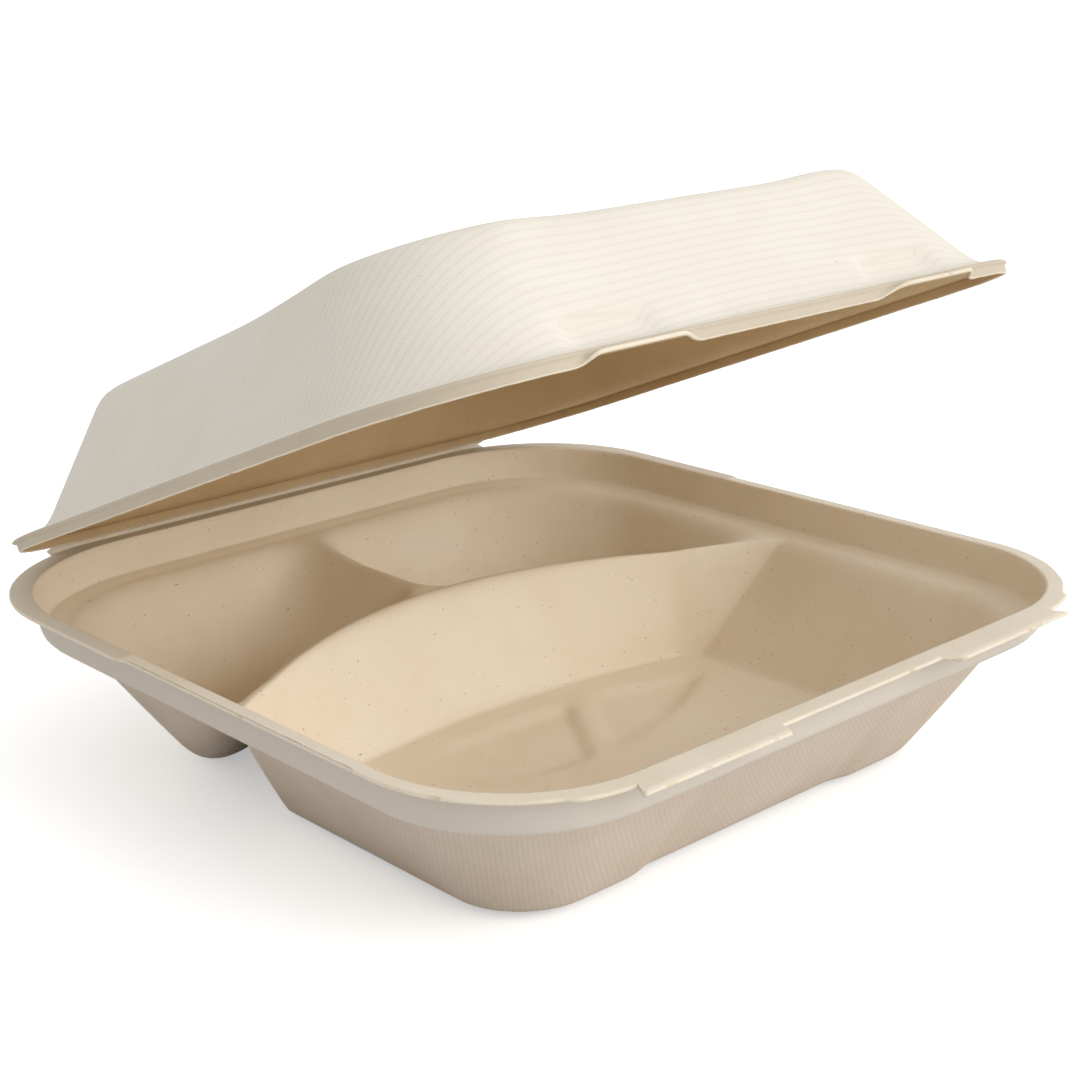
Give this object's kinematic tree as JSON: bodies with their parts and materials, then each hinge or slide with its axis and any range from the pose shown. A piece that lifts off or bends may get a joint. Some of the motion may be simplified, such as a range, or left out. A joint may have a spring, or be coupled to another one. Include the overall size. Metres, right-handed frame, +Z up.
{
  "type": "fiber clamshell container",
  "caption": "Hinged food box pressed from plant fibre, with a divided tray that has latch tabs on its front rim, and a lid whose low skirt has matching notches, shown half open",
  "frame": {"origin": "The middle of the rim's rectangle, straight down on the table, on the flat underside of the large compartment's floor", "axes": "+X runs to the right along the hinge, +Y from the front with the latch tabs toward the hinge, +Z up from the table"},
  "size_m": [0.229, 0.2413, 0.1592],
  "materials": {
    "tray_fibre": "matte pressed plant fibre, unbleached tan with small dark flecks",
    "lid_fibre": "matte pressed plant fibre, pale cream with a fine wire mesh imprint"
  },
  "bodies": {
    "tray": {"tray": "tray_fibre"},
    "lid": {"lid": "lid_fibre"}
  },
  "joints": [
    {"name": "lid_hinge", "type": "hinge", "parent": "tray", "child": "lid", "pos_m": [0, 0.1175, 0.0498], "axis": [-1, 0, 0], "range_deg": [-21.5, 158.5]}
  ]
}
